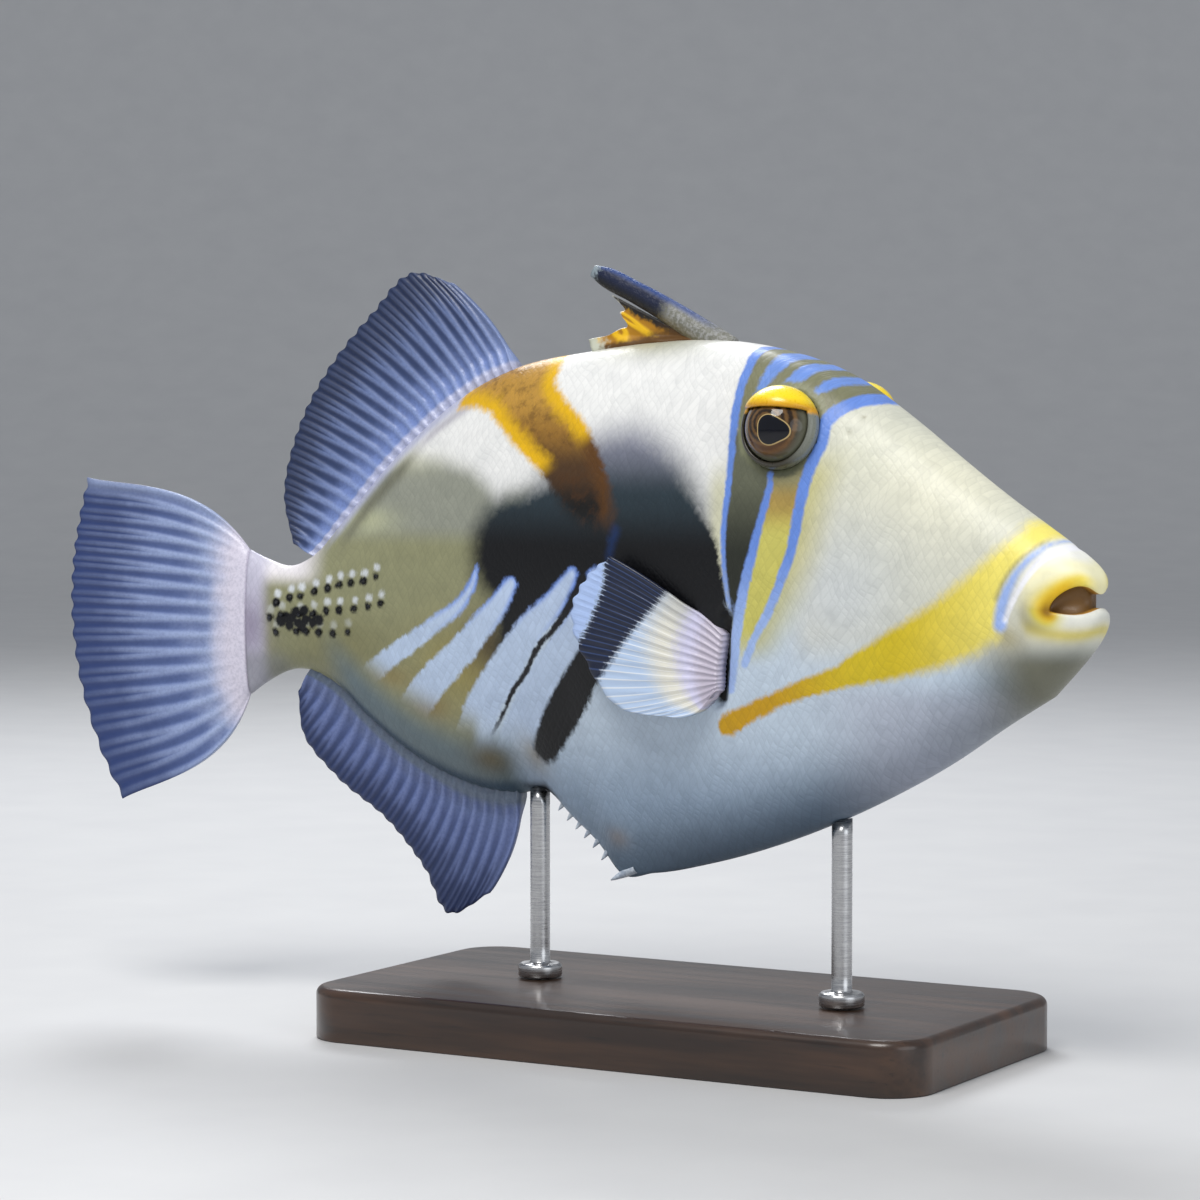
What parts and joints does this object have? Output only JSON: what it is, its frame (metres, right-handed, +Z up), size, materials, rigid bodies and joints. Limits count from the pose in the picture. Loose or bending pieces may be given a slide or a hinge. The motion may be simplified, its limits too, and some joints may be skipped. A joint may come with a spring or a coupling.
{
  "type": "picasso triggerfish model",
  "caption": "Life-size triggerfish with raised soft dorsal and anal fins, half-raised locking spine and fanned tail, held on two short rods over a flat display base.",
  "frame": {"origin": "centre of the underside of the display base, under the middle of the fish", "axes": "+X towards the fish's head, +Y towards its left side, +Z up"},
  "size_m": [0.2233, 0.066, 0.1463],
  "materials": {
    "skin": "finely scaled skin, cream above and white below, with olive, black and blue stripes",
    "fin": "blue-lavender membrane with paler raised rays",
    "pectoral_fin": "thin pale membrane with cream rays and a lavender root",
    "locking_spine": "rough bony spine, grey at the root and dark at the tip",
    "spiny_web": "yellow membrane with a frayed edge",
    "eye": "wet and glossy, dark brown iris with a gold pupil edge",
    "eye_rim": "soft ring of skin, yellow above the eye",
    "stand_base": "dark stained hardwood, satin",
    "stand_rod": "brushed"
  },
  "bodies": {
    "root": {"head": "skin", "torso": "skin", "tail_stalk": "skin", "pelvic_flap": "skin", "tail_fin": "fin", "soft_dorsal_fin": "fin", "anal_fin": "fin", "pectoral_fin_left": "pectoral_fin", "pectoral_fin_right": "pectoral_fin", "locking_spine": "locking_spine", "spiny_dorsal_web": "spiny_web", "eye_left": "eye", "eye_right": "eye", "eye_rim_left": "eye_rim", "eye_rim_right": "eye_rim", "stand_base": "stand_base", "stand_rod_front": "stand_rod", "stand_rod_rear": "stand_rod"}
  },
  "joints": []
}
